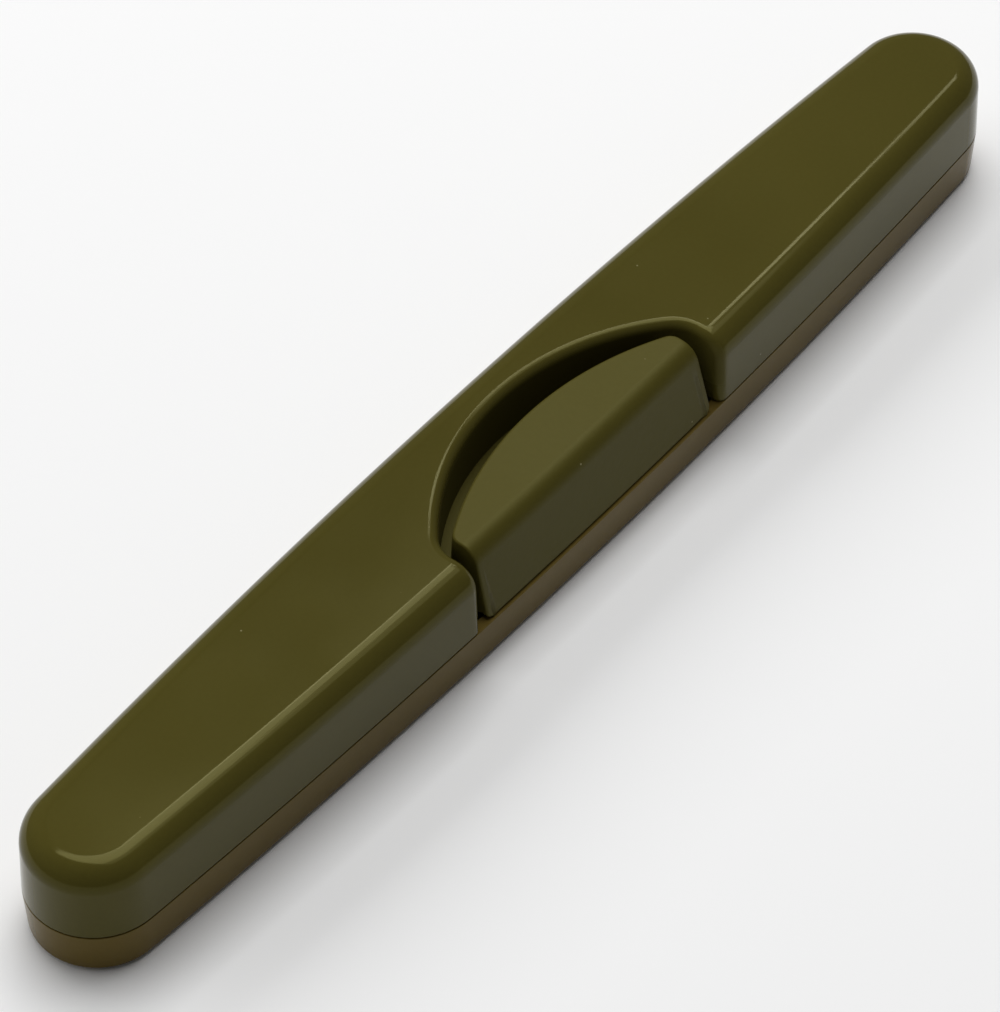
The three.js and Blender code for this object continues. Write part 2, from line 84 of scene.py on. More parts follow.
# Handled plastic: pattern scales per metre, and how much each pattern moves the tone, roughness or height
DRIFT_SCALE, DRIFT = 28, 0.30
GRAIN_SCALE, GRAIN = 1400, 0.10
SMEAR_SCALE, SMEAR = 60, 0.10
SPECK_SCALE, SPECK_SMALLEST, SPECK_SPREAD = 420, 0.025, 0.050
SPECK_FAINTEST, SPECK_DULLNESS, SPECK_HEIGHT = 0.3, 0.4, 0.5
HOLLOW_FADE, HOLLOW_DULLNESS = 3 * MM, 0.45
GLOSSY_RELIEF, SATIN_RELIEF = 0.004 * MM, 0.02 * MM

# Drawn steel: tone of its dark lines, and how much the lines move the roughness and the surface
STEEL_DARK, STEEL_DULLNESS, STEEL_BUMP, STEEL_RELIEF = 0.72, 0.22, 0.3, 0.02 * MM

# Stage: half the floor's side in metres, the camera's sensor in millimetres, and the softboxes: their sides as
# slopes seen from the case, the light that sets their strength, their share of it, and whether they show in gloss
FLOOR_HALF = 6
SENSOR = 36
SOFTBOXES = (
    ("overhead_left", (-0.05, 0.47), (-0.13, 0.52), "overhead", 1, True),
    ("overhead_right", (0.47, 0.70), (0.02, 0.44), "overhead", 1, True),
    ("overhead_edge", (0.47, 0.75), (0.44, 0.52), "edge", 1, True),
    ("near_strip", (0.75, 0.87), (0.22, 0.45), "edge", 0.8, True),
    ("far_strip", (0.87, 1.05), (0.10, 0.32), "edge", 0.55, True),
    ("fringe_softbox", (-0.05, 0.80), (-0.33, 0.03), "fringe", 1, True),
    ("back_fill", (-2.00, 2.00), (0.80, 2.50), "back", 1, False),
)


def size(name, description, millimetres):
    """Size property, its default given in millimetres"""
    default = millimetres * MM
    return FloatProperty(name=name, description=description, default=default, unit="LENGTH", precision=5)


def angle(name, description, degrees):
    """Angle property, its default given in degrees"""
    return FloatProperty(name=name, description=description, default=radians(degrees), subtype="ANGLE")


def number(name, description, value):
    """Plain number property"""
    return FloatProperty(name=name, description=description, default=value)


def colour(name, description, value):
    """Colour property"""
    return FloatVectorProperty(name=name, description=description, default=value, subtype="COLOR", min=0, max=1)


class CaseSizes(bpy.types.PropertyGroup):
    """Outline, heights and walls of the two halves"""

    length: size("Length", "Overall length of the case", 210)
    width: size("Width", "Width at the middle, at the parting line", 26.4)
    end_radius: size("End radius", "Radius of both round ends", 10.2)
    base_height: size("Base height", "Height of the parting line", 7.6)
    lid_height: size("Lid height", "Height of the lid above the parting line", 12.4)
    wall: size("Wall", "Thickness of walls, floor and roof", 1.8)
    base_draft: angle("Base draft", "Lean of the base's walls", 3)
    lid_draft: angle("Lid draft", "Lean of the lid's walls", 2)
    top_fillet: size("Top fillet", "Radius along the top edge of the lid", 4)
    foot_rounding: size("Foot rounding", "Radius along the bottom edge of the base", 1.2)
    tray_rounding: size("Tray rounding", "Radius between the tray's wall and floor", 0.9)
    gap: size("Running gap", "Gap between pieces that run on each other", 0.3)
    seam: size("Seam", "Gap between both halves along the parting line", 0.18)
    edge: size("Edge", "Radius that breaks the sharp edges", 0.15)
    tongue: size("Tongue", "Thickness of the base's rim tongue", 0.8)
    tongue_height: size("Tongue height", "Height of the tongue above the rim", 1.6)
    lip: size("Lip", "Thickness of the lid's lip outside the tongue", 0.7)


class ScoopSizes(bpy.types.PropertyGroup):
    """Scoop in the lid round the button"""

    half_length: size("Half length", "Half the scoop's length at the roof", 28.1)
    depth: size("Depth", "How far the scoop reaches back from the front", 19.3)
    bow: size("Bow", "Radius of the scoop's back", 40)
    corner: size("Corner", "Radius of the scoop's back corners", 5.5)
    draft: angle("Draft", "Lean of the scoop's walls", 0.5)
    rim: size("Rim", "Radius along the scoop's rim", 1.5)
    wall: size("Wall", "Thickness of the scoop's walls", 1.5)
    floor_rise: size("Floor rise", "Height of the scoop's floor above the parting line", 3.6)
    floor: size("Floor", "Thickness of the scoop's floor", 1.4)
    apron: size("Apron", "Thickness of the apron and the hook bays", 1.4)


class ButtonSizes(bpy.types.PropertyGroup):
    """Push button with its hooks and feet"""

    half_length: size("Half length", "Half the button's length at its foot", 26.2)
    depth: size("Depth", "How far the button reaches back from the front", 14.8)
    bow: size("Bow", "Radius of the button's back", 54)
    corner: size("Corner", "Radius of the button's back corners", 2.6)
    foot_corner: size("Foot corner", "Radius of the lower corners of the button's face", 1.2)
    draft: angle("Draft", "Lean of the button's sides and back", 2.3)
    inset: size("Inset", "How far the button's face stands behind the case's front", 0.35)
    sink: size("Sink", "How far the button stands below the lid's roof", 0.2)
    top_slope: angle("Top slope", "Fall of the button's top towards the front", 1.5)
    slant: angle("Slant", "Lean of the button's face", 14)
    ridge: size("Ridge", "Radius between the button's face and top", 3.3)
    wall: size("Wall", "Thickness of the button's walls", 1.7)
    edge: size("Edge", "Radius along the button's edges", 0.4)
    skirt: size("Skirt", "Depth of the button's back wall", 7.3)
    travel: size("Travel", "How far the button moves back when pressed", 1.6)


class LatchSizes(bpy.types.PropertyGroup):
    """Catches, hooks, snap feet, springs and their posts"""

    hook_spacing: size("Hook spacing", "Distance between the two hooks", 36)
    hook_width: size("Hook width", "Width of one hook", 8)
    hook: size("Hook", "Thickness of a hook's leg", 1.5)
    nose: size("Nose", "Height of a hook's nose", 1.6)
    lead: size("Lead", "Lead-in of hooks and catches", 0.7)
    root: size("Root", "Height of a hook's root on the button", 3.4)
    catch_reach: size("Catch reach", "How far a catch stands out from the wall", 1.3)
    catch_width: size("Catch width", "Width of one catch", 10)
    catch: size("Catch", "Thickness of a catch", 1.4)
    catch_depth: size("Catch depth", "Depth of a catch below the rim", 0.3)
    foot_spacing: size("Foot spacing", "Distance between the two snap feet", 28)
    foot_width: size("Foot width", "Width of one snap foot", 4)
    foot: size("Foot", "Thickness of a snap foot", 1.2)
    barb: size("Barb", "Reach of a snap foot's barb", 0.8)
    barb_height: size("Barb height", "Height of a snap foot's barb", 1.2)
    spring_spacing: size("Spring spacing", "Distance between the two springs", 14)
    spring_rise: size("Spring rise", "Height of the springs above the scoop's floor", 2.8)
    coil: size("Coil", "Radius of a spring's coil", 1.9)
    wire: size("Wire", "Radius of the spring wire", 0.18)
    turns: number("Turns", "Turns of one spring", 5)
    post_width: size("Post width", "Width of a spring's post", 6)
    post: size("Post", "Thickness of a spring's post", 1.4)
    post_set: size("Post set", "How far the posts stand back from the front", 8.8)
    post_height: size("Post height", "Height of the posts above the scoop's floor", 5.4)
    pip: size("Pip", "Radius of the pips that seat the springs", 1.2)
    pip_length: size("Pip length", "Length of the pips", 1.1)


class HingeSizes(bpy.types.PropertyGroup):
    """Hinge knuckles, heels and pins"""

    spacing: size("Spacing", "Distance between the two hinges", 84)
    setback: size("Setback", "How far the axis lies behind the back of the case", 1.5)
    barrel: size("Barrel", "Radius of the knuckles", 2.1)
    outer: size("Outer knuckle", "Length of the base's knuckles", 5)
    inner: size("Inner knuckle", "Length of the lid's knuckle", 6)
    pin: size("Pin", "Radius of the hinge pins", 0.75)
    clearance: size("Clearance", "Gap round the pins", 0.09)
    pin_inset: size("Pin inset", "How far the pins stand in from the knuckles' ends", 0.4)
    chamfer: size("Chamfer", "Rounding of the pins' ends", 0.2)
    web: size("Web", "Height of the webs that carry the knuckles", 4.6)
    bite: size("Bite", "How far the webs reach into the wall", 0.6)
    web_turn: angle("Web turn", "Where the web leaves the barrel", 50)
    limit: angle("Opening", "How far the lid opens", 140)
    heel: size("Heel", "Reach of the heel that stops the lid", 2.85)
    heel_spare: angle("Heel spare", "Room left at the open stop", 2)
    heel_turn: angle("Heel turn", "Width of the heel", 34)


class TrimSizes(bpy.types.PropertyGroup):
    """Cross ribs and vent slots"""

    rib_spacing: size("Rib spacing", "Distance between the inner pair of ribs", 96)
    rib_pitch: size("Rib pitch", "Distance from an inner to an outer rib", 24)
    rib: size("Rib", "Thickness of the ribs", 1.2)
    base_rib: size("Base rib", "Height of the ribs on the floor", 1.5)
    lid_rib: size("Lid rib", "Height of the ribs under the roof", 1.3)
    vent_first: size("First vent", "Distance of the first vent slot from the middle", 78)
    vent_pitch: size("Vent pitch", "Distance between vent slots", 4)
    vent_length: size("Vent length", "Length of a vent slot", 8)
    vent_width: size("Vent width", "Width of a vent slot", 1.6)


class Finishes(bpy.types.PropertyGroup):
    """Colours of the materials"""

    lid: colour("Lid", "Colour of the lid's plastic", (0.064, 0.0545, 0.0105))
    base: colour("Base", "Colour of the base's plastic", (0.116, 0.080, 0.019))
    button: colour("Button", "Colour of the button's plastic", (0.061, 0.052, 0.009))
    dust: colour("Dust", "Colour of the dust specks", (0.30, 0.27, 0.15))
    gloss: colour("Gloss tint", "Tint of the plastic's reflections", (1.0, 0.95, 0.38))
    sheen: number("Gloss", "Strength of the plastic's reflections, 0.5 for clear gloss", 0.18)
    spring: colour("Spring", "Colour of the spring wire", (0.50, 0.50, 0.48))
    pin: colour("Pin", "Colour of the hinge pins", (0.56, 0.56, 0.55))
    floor: colour("Floor", "Colour of the floor", (0.90, 0.90, 0.90))


class StageSettings(bpy.types.PropertyGroup):
    """Camera and lights"""

    azimuth: angle("Azimuth", "Turn of the camera from the front towards the left end", 51.609)
    elevation: angle("Elevation", "Height of the camera above the horizon", 47.289)
    distance: size("Distance", "Distance of the camera from the case", 701.86)
    across: size("Across", "Place of the camera to the right of the case", -4.816)
    above: size("Above", "Place of the camera above the case", 0.531)
    lens: size("Lens", "Focal length of the camera", 171.23)
    lamp_height: size("Lamp height", "Height of the softboxes above the floor", 2000)
    overhead: number("Overhead light", "Watts for each square metre of the overhead softbox", 15)
    edge: number("Edge light", "Watts for each square metre along the bright edge of the overhead softbox", 30)
    fringe: number("Fringe light", "Watts for each square metre of the dim softbox in front of it", 5)
    back: number("Back light", "Watts for each square metre of the fill light behind the case", 6.5)
    ambient: number("Ambient light", "Strength of the even light from all round", 0.10)


def steps(start, end, count):
    """Evenly spaced values, both ends included"""
    return [start + (end - start) * k / count for k in range(count + 1)]


def arc(x, y, radius, start, end, count):
    """Points along an arc"""
    return [(x + radius * cos(a), y + radius * sin(a)) for a in steps(start, end, count)]


def mirrored(points):
    """The same line on the other side of the middle, in reverse order"""
    return [(-x, y) for x, y in reversed(points)]


def measures(scene):
    """Places worked out from the sizes that a user can change"""
    case, scoop, button = scene.case_sizes, scene.scoop_sizes, scene.button_sizes
    latch, hinge = scene.latch_sizes, scene.hinge_sizes
    m = SimpleNamespace(case=case, scoop=scoop, button=button, latch=latch, hinge=hinge, trim=scene.trim_sizes)
    m.gap, m.edge = case.gap, case.edge
    m.half = case.width / 2
    m.height = case.base_height + case.lid_height
    m.rim = case.base_height - case.seam / 2
    m.foot = case.base_height + case.seam / 2
    m.end_x = case.length / 2 - case.end_radius
    m.side_radius = (m.end_x**2 + m.half**2 - case.end_radius**2) / (case.width - 2 * case.end_radius)
    m.side_y = m.side_radius - m.half
    m.turn = atan2(m.side_y, m.end_x)
    m.scoop_floor = case.base_height + scoop.floor_rise
    m.scoop_under = m.scoop_floor - scoop.floor
    m.scoop_plan = (scoop.half_length, scoop.depth - m.half, scoop.bow, scoop.corner)
    m.button_top = m.height - button.sink
    m.button_back = button.depth - m.half
    m.button_plan = (button.half_length, m.button_back, button.bow, button.corner)
    m.catch_face = case.wall + latch.catch_reach - m.half
    m.catch_top = m.rim - latch.catch_depth
    m.catch_under = m.catch_top - latch.catch
    m.hook_front = m.catch_face + case.gap
    m.hook_back = m.hook_front + latch.hook
    m.hook_top = m.catch_under - case.gap
    m.hook_foot = m.hook_top - latch.nose
    m.hook_tip = inner_base(m, (latch.hook_spacing + latch.hook_width) / 2, m.hook_foot) + case.gap
    m.bay_back = m.hook_back + button.travel + case.gap
    m.apron = inner_front(m, m.scoop_floor + case.gap) + button.travel + case.gap
    m.post_front = latch.post_set - m.half
    m.foot_front = m.bay_back + scoop.apron + case.gap + latch.barb
    m.foot_back = m.foot_front + latch.foot
    m.spring_z = m.scoop_floor + latch.spring_rise
    m.axis_x = hinge.spacing / 2
    m.axis_y = m.half - sagitta(m, m.axis_x) + hinge.setback
    m.hinge_half = hinge.inner / 2 + case.gap + hinge.outer
    return m


def sagitta(m, x):
    """How far the long side of the case has curved inwards at a distance from its middle"""
    return m.side_radius - sqrt(m.side_radius**2 - x**2)


def inner_base(m, x, z):
    """Y of the inner face of the base's front wall"""
    return m.case.wall - m.half + sagitta(m, x) + (m.case.base_height - z) * tan(m.case.base_draft)


def inner_front(m, z):
    """Y of the button's inner front face at a height"""
    outer = m.button.inset - m.half + (z - m.foot) * tan(m.button.slant)
    return outer + m.button.wall / cos(m.button.slant)


def lens(m, inset, cut=0.0):
    """Outline of the case drawn in by an inset, left open round the middle of the front where there is a cut"""
    side = m.side_radius - inset
    end = m.case.end_radius - inset
    stop = pi / 2 - m.turn
    start = asin(cut / side)
    front = [(side * sin(a), m.side_y - side * cos(a)) for a in steps(start, stop, HALF_SIDE_STEPS)]
    back = [(side * sin(a), side * cos(a) - m.side_y) for a in steps(stop, 0, HALF_SIDE_STEPS)]
    half = front + arc(m.end_x, 0, end, -m.turn, m.turn, END_STEPS)[1:] + back[1:]
    whole = half + mirrored(half)[1:]
    return whole if cut else whole[:-1]


def bowed(plan, inset):
    """Line of a plan with straight sides and a bowed back: left corner, back, right corner"""
    half, back, bow, corner = plan
    bow_y = back - bow
    corner_x = half - corner
    corner_y = bow_y + sqrt((bow - corner) ** 2 - corner_x**2)
    turn = atan2(corner_y - bow_y, corner_x)
    right = arc(corner_x, corner_y, corner - inset, 0, turn, CORNER_STEPS)
    rear = arc(0, bow_y, bow - inset, turn, pi - turn, BOW_STEPS)
    line = right + rear[1:-1] + mirrored(right)
    return line[::-1]


def drafted(low, top, fillet, draft, datum, inset):
    """Levels (height, inset) of a wall that leans in as it rises and rounds over into a flat top"""
    shoulder = top - fillet + fillet * sin(draft)
    centre = inset + (shoulder - datum) * tan(draft) + fillet * cos(draft)
    rows = [(low, inset + (low - datum) * tan(draft))]
    for turn in steps(draft, pi / 2, FILLET_STEPS):
        rows.append((top - fillet + fillet * sin(turn), centre - fillet * cos(turn)))
    return rows


def draw(bm, places):
    """Line of new vertices"""
    return [bm.verts.new(place) for place in places]


def join(bm, line, closed):
    """Edges between the vertices of a line"""
    pairs = list(zip(line, line[1:])) + ([(line[-1], line[0])] if closed else [])
    return [bm.edges.get(pair) or bm.edges.new(pair) for pair in pairs]


def carry(bm, line, places, closed=True):
    """Extrudes a line of vertices to new places"""
    made = bmesh.ops.extrude_edge_only(bm, edges=join(bm, line, closed))["geom"]
    fresh = {v for v in made if isinstance(v, bmesh.types.BMVert)}
    carried = [next(e.other_vert(v) for e in v.link_edges if e.other_vert(v) in fresh) for v in line]
    for vert, place in zip(carried, places):
        vert.co = place
    return carried


def flat(points, z):
    """Places of a line of points at one height"""
    return [Vector((x, y, z)) for x, y in points]


def skin(bm, rows, closed=True):
    """Skin through rows of places, capped at both ends where the rows are closed"""
    lines = []
    for places in rows:
        lines.append(carry(bm, lines[-1], places, closed) if lines else draw(bm, places))
    if closed:
        bm.faces.new(lines[0])
        bm.faces.new(lines[-1])
    return lines


def rings(bm, levels, outline, closed=True):
    """Skin through one outline for each level (height, inset)"""
    return skin(bm, [flat(outline(z, inset), z) for z, inset in levels], closed)


def thicken(bm, shift):
    """Extrudes a sheet of faces into a closed solid"""
    made = bmesh.ops.extrude_face_region(bm, geom=bm.faces[:])["geom"]
    far = [v for v in made if isinstance(v, bmesh.types.BMVert)]
    bmesh.ops.translate(bm, verts=far, vec=shift)


def part(name, bm):
    """Object from a closed bmesh, its faces turned outwards"""
    bmesh.ops.recalc_face_normals(bm, faces=bm.faces)
    mesh = bpy.data.meshes.new(name)
    bm.to_mesh(mesh)
    bm.free()
    obj = bpy.data.objects.new(name, mesh)
    bpy.context.scene.collection.objects.link(obj)
    return obj


def solid_volume(obj):
    """Volume of a closed object, which raises where the object is open or empty"""
    bm = bmesh.new()
    bm.from_mesh(obj.data)
    volume = bm.calc_volume()
    closed = all(len(e.link_faces) == 2 for e in bm.edges)
    bm.free()
    if not closed or volume <= 0:
        raise RuntimeError(f"{obj.name} isn't a closed solid")
    return volume


def combine(body, operation, *tools):
    """Joins, cuts or trims an object with others, which are used up"""
    for tool in tools:
        before = solid_volume(body)
        solid_volume(tool)
        step = body.modifiers.new("Combine", "BOOLEAN")
        step.operation = operation
        step.solver = "MANIFOLD"
        step.object = tool
        graph = bpy.context.evaluated_depsgraph_get()
        mesh = bpy.data.meshes.new_from_object(body.evaluated_get(graph))
        body.modifiers.clear()
        old = body.data
        body.data = mesh
        bpy.data.meshes.remove(old)
        bpy.data.meshes.remove(tool.data)
        if solid_volume(body) == before:
            raise RuntimeError(f"{operation} changed nothing on {body.name}")
    return body


def round_edges(bm, edges, radius, segments=3):
    """Rounds edges over"""
    bmesh.ops.recalc_face_normals(bm, faces=bm.faces)
    bmesh.ops.bevel(bm, geom=edges, offset=radius, offset_type="OFFSET", segments=segments, profile=0.5,
                    affect="EDGES", clamp_overlap=False, material=-1)


def sharp_edges(bm, within=lambda place: True):
    """Edges that are sharp enough to be rounded over, and whose two ends lie within a region"""
    bmesh.ops.recalc_face_normals(bm, faces=bm.faces)
    return [e for e in bm.edges if len(e.link_faces) == 2 and e.calc_face_angle(0) > CORNER
            and all(within(v.co) for v in e.verts)]


def slab(x, y, z, edge=0.0):
    """Block between two values along each axis"""
    bm = bmesh.new()
    spans = [b - a for a, b in (x, y, z)]
    centre = [(a + b) / 2 for a, b in (x, y, z)]
    place = Matrix.Translation(centre) @ Matrix.Diagonal((*spans, 1))
    bmesh.ops.create_cube(bm, size=1, matrix=place)
    if edge:
        round_edges(bm, bm.edges[:], edge)
    return part("slab", bm)


def bar(outline, x0, x1, edge=0.0):
    """Solid with an outline of (y, z) points, drawn along X"""
    bm = bmesh.new()
    bm.faces.new(draw(bm, [Vector((x0, y, z)) for y, z in outline]))
    thicken(bm, (x1 - x0, 0, 0))
    if edge:
        round_edges(bm, sharp_edges(bm), edge)
    return part("bar", bm)


def rod(radius, start, end, edge=0.0):
    """Round rod between two points"""
    bm = bmesh.new()
    start, end = Vector(start), Vector(end)
    turn = (end - start).to_track_quat("Z", "Y").to_matrix().to_4x4()
    place = Matrix.Translation((start + end) / 2) @ turn
    bmesh.ops.create_cone(bm, cap_ends=True, segments=ROUND_STEPS, radius1=radius, radius2=radius,
                          depth=(end - start).length, matrix=place)
    if edge:
        round_edges(bm, sharp_edges(bm), edge)
    return part("rod", bm)


def lens_block(m, levels):
    """Solid with the outline of the case through levels (height, inset)"""
    bm = bmesh.new()
    rings(bm, levels, lambda z, inset: lens(m, inset))
    return part("lens", bm)


def bowed_block(m, plan, low, high, inset, draft, datum):
    """Solid with a bowed plan that leans in from a datum height, open to beyond the front of the case"""
    bm = bmesh.new()
    front = -m.half - OVERRUN

    def outline(z, drawn):
        line = bowed(plan, drawn)
        return [(line[0][0], front), *line, (line[-1][0], front)]

    rings(bm, [(z, inset + abs(z - datum) * tan(draft)) for z in (low, high)], outline)
    return part("bowed", bm)


def both_sides(make, m, *more):
    """Pieces made once for each side of the middle"""
    return [make(m, side, *more) for side in SIDES]


def span(side, low, high):
    """Stretch along X on one side of the middle, lower end first"""
    return (low, high) if side > 0 else (-high, -low)


def about(side, spacing, half):
    """Stretch along X round a centre on one side of the middle"""
    return span(side, spacing / 2 - half, spacing / 2 + half)


def rim_tongue(m):
    """Tongue that stands on the base's rim, left out along the front where the button hangs"""
    case = m.case
    bm = bmesh.new()
    cut = m.scoop.half_length + m.scoop.wall + case.gap
    low = m.rim - case.tongue_height
    inset = case.wall - case.tongue
    skin(bm, [flat(lens(m, drawn, cut), low) for drawn in (inset, case.wall)], closed=False)
    thicken(bm, (0, 0, 2 * case.tongue_height))
    round_edges(bm, sharp_edges(bm, lambda place: place.z > m.rim), case.edge)
    return part("tongue", bm)


def cross_ribs(m, z, rise):
    """Ribs across a floor or roof, whose ends lie inside the walls"""
    ribs = []
    for place in (m.trim.rib_spacing / 2, m.trim.rib_spacing / 2 + m.trim.rib_pitch):
        reach = m.half - sagitta(m, place) - m.case.wall / 2 - rise
        for side in SIDES:
            ribs.append(slab(about(side, 2 * place, m.trim.rib / 2), (-reach, reach), z, m.edge))
    return ribs


def vent_slots(m):
    """Cutters for the round-ended vent slots, flared at both faces of the floor"""
    cutters = []
    flare = m.edge * 2
    straight = (m.trim.vent_length - m.trim.vent_width) / 2
    rounding = [(flare * (1 - cos(a)), -flare * (1 - sin(a))) for a in steps(0, pi / 2, FLARE_STEPS)]
    lower = [(-OVERRUN, -flare), *rounding]
    upper = [(m.case.wall - z, inset) for z, inset in reversed(lower)]
    for k in range(VENTS):
        for side in SIDES:
            centre = side * (m.trim.vent_first + k * m.trim.vent_pitch)

            def outline(z, inset, x=centre):
                radius = m.trim.vent_width / 2 - inset
                front = arc(x, -straight, radius, pi, 2 * pi, CORNER_STEPS)
                return front + arc(x, straight, radius, 0, pi, CORNER_STEPS)

            bm = bmesh.new()
            rings(bm, lower + upper, outline)
            cutters.append(part("vent", bm))
    return cutters


def axle(m, radius, x0, x1, edge=0.0):
    """Round rod on the axis of the hinges"""
    z = m.case.base_height
    return rod(radius, (x0, m.axis_y, z), (x1, m.axis_y, z), edge)


def knuckle(m, up, x0, x1):
    """Barrel and web of one hinge knuckle, above (+1) or below (-1) the parting line"""
    hinge, datum, edge = m.hinge, m.case.base_height, m.edge
    wall_y = m.axis_y - hinge.setback - hinge.bite
    near = datum + up * m.gap / 2
    tangent = (m.axis_y + hinge.barrel * cos(hinge.web_turn),
               datum + up * hinge.barrel * sin(hinge.web_turn))
    outline = [(wall_y, near), (m.axis_y, near), tangent, (wall_y, datum + up * hinge.web)]
    return [axle(m, hinge.barrel, x0, x1, edge * 2), bar(outline, x0 + edge, x1 - edge, edge)]


def knuckle_spans(m, side):
    """Stretches along X of the lid's knuckle and of the base's two"""
    inner = about(side, m.hinge.spacing, m.hinge.inner / 2)
    near = span(side, m.axis_x - m.hinge_half, m.axis_x - m.hinge_half + m.hinge.outer)
    far = span(side, m.axis_x + m.hinge_half - m.hinge.outer, m.axis_x + m.hinge_half)
    return inner, [near, far]


def knuckle_room(m, x0, x1):
    """Cutter for the room that a wall leaves for the other half's knuckle"""
    return axle(m, m.hinge.barrel + m.gap, x0 - m.gap, x1 + m.gap)


def hinge_bore(m, side):
    """Cutter for the pin's bore through one hinge"""
    stretch = about(side, m.hinge.spacing, m.hinge_half + OVERRUN)
    return axle(m, m.hinge.pin + m.hinge.clearance, *stretch)


def hinge_heel(m, x0, x1):
    """Heel that meets the back of the base when the lid is fully open"""
    hinge, z = m.hinge, m.case.base_height
    contact = pi - acos(hinge.setback / hinge.heel)
    lead = hinge.limit + hinge.heel_spare - contact
    outline = [(m.axis_y, z)] + arc(m.axis_y, z, hinge.heel, lead, lead + hinge.heel_turn, CORNER_STEPS)
    return bar(outline, x0, x1, m.edge)


def front_catch(m, side):
    """Catch on the inner face of the base's front wall"""
    latch = m.latch
    root = m.case.wall / 2 - m.half
    outline = [
        (root, m.catch_under),
        (m.catch_face, m.catch_under),
        (m.catch_face, m.catch_top - latch.lead),
        (m.catch_face - latch.lead, m.catch_top),
        (root, m.catch_top),
    ]
    return bar(outline, *about(side, latch.hook_spacing, latch.catch_width / 2), m.edge)


def base_tray(m):
    """Tray of the base: rounded foot, leaning wall, flat rim and rounded inner floor"""
    case = m.case

    def levels(bottom, rounding, inset):
        upended = drafted(-m.rim, -bottom, rounding, case.base_draft, -case.base_height, inset)
        return [(-z, drawn) for z, drawn in upended]

    outer, inner = levels(0, case.foot_rounding, 0), levels(case.wall, case.tray_rounding, case.wall)
    bm = bmesh.new()
    rings(bm, outer[::-1] + inner, lambda z, inset: lens(m, inset))
    round_edges(bm, sharp_edges(bm, lambda place: place.z > m.rim - case.gap), case.edge)
    return part("base_shell_dressed", bm)


def lid_body(m):
    """Lid as a solid body with its scoop cut in: one open skin round the scoop, closed by the scoop's walls"""
    case, scoop = m.case, m.scoop
    lean = tan(scoop.draft)
    levels = drafted(m.foot, m.height, case.top_fillet, case.lid_draft, case.base_height, 0)

    def cut(z):
        return scoop.half_length - (m.height - z) * lean

    bm = bmesh.new()
    lines = rings(bm, levels, lambda z, inset: lens(m, inset, cut(z)), closed=False)
    wall = [flat(bowed(m.scoop_plan, (m.height - z) * lean), z) for z in (m.height, m.scoop_floor)]
    roof_line, floor_line = skin(bm, wall, closed=False)
    apron = [Vector((side * cut(z), m.apron, z)) for side, z in
             ((1, m.scoop_floor), (-1, m.scoop_floor), (1, m.foot), (-1, m.foot))]
    top_right, top_left, low_right, low_left = draw(bm, apron)
    bm.faces.new(lines[-1] + roof_line)
    bm.faces.new(floor_line + [top_right, top_left])
    bm.faces.new([top_left, top_right, low_right, low_left])
    bm.faces.new(lines[0] + [low_left, low_right])
    bm.faces.new([line[-1] for line in lines] + [roof_line[0], floor_line[0], top_left, low_left])
    bm.faces.new([line[0] for line in lines] + [roof_line[-1], floor_line[-1], top_right, low_right])

    right = join(bm, [line[0] for line in lines], False)
    left = join(bm, [line[-1] for line in lines], False)
    ends = [bm.edges.get((lines[-1][-1], roof_line[0])), bm.edges.get((lines[-1][0], roof_line[-1]))]
    round_edges(bm, right + left + ends + join(bm, roof_line, False), scoop.rim, segments=5)

    def outer_foot(place):
        return abs(place.z - m.foot) < case.edge / 2 and (place.y < m.apron or abs(place.x) > cut(m.foot))

    round_edges(bm, sharp_edges(bm, outer_foot), case.edge)
    return part("lid_shell_dressed", bm)


def lid_cavity(m):
    """Cutter for the inside of the lid, which leaves the scoop's walls, floor and apron standing"""
    case, scoop = m.case, m.scoop
    roof = m.height - case.wall
    cavity = lens_block(m, drafted(m.foot - OVERRUN, roof, case.top_fillet - case.wall, case.lid_draft,
                                   case.base_height, case.wall))
    rabbet_top = m.rim + case.tongue_height + case.gap
    combine(cavity, "UNION", lens_block(m, [(m.foot - OVERRUN, case.lip), (rabbet_top, case.lip)]))
    jacket = bowed_block(m, m.scoop_plan, m.foot, m.height, -scoop.wall, scoop.draft, m.height)
    behind = slab((-case.length / 2, case.length / 2), (m.apron + scoop.apron, case.width), (0, m.scoop_under))
    return combine(cavity, "DIFFERENCE", combine(jacket, "DIFFERENCE", behind))


def hook_bay(m, side, room):
    """Walls of the bay behind one hook, or with room the space in it"""
    grow = 0 if room else m.scoop.apron
    half = m.latch.hook_width / 2 + m.gap + grow
    x = about(side, m.latch.hook_spacing, half)
    if room:
        return slab(x, (m.apron - OVERRUN, m.bay_back), (m.foot - OVERRUN, m.scoop_floor + OVERRUN))
    return slab(x, (m.apron, m.bay_back + grow), (m.foot, m.scoop_floor))


def foot_slot(m, side):
    """Cutter for the slot of one snap foot, long enough for its travel"""
    x = about(side, m.latch.foot_spacing, m.latch.foot_width / 2 + m.gap)
    y = (m.foot_front - m.gap, m.foot_back + m.button.travel + m.gap)
    return slab(x, y, (m.scoop_under - OVERRUN, m.scoop_floor + OVERRUN))


def spring_post(m, side):
    """Post and pip that one spring pushes against"""
    latch = m.latch
    centre = side * latch.spring_spacing / 2
    y = (m.post_front, m.post_front + latch.post)
    z = (m.scoop_under + m.edge, m.scoop_floor + latch.post_height)
    post = slab(about(side, latch.spring_spacing, latch.post_width / 2), y, z, m.edge)
    tip = (centre, m.post_front - latch.pip_length, m.spring_z)
    pip = rod(latch.pip, tip, (centre, m.post_front + latch.post / 2, m.spring_z), m.edge)
    return combine(post, "UNION", pip)


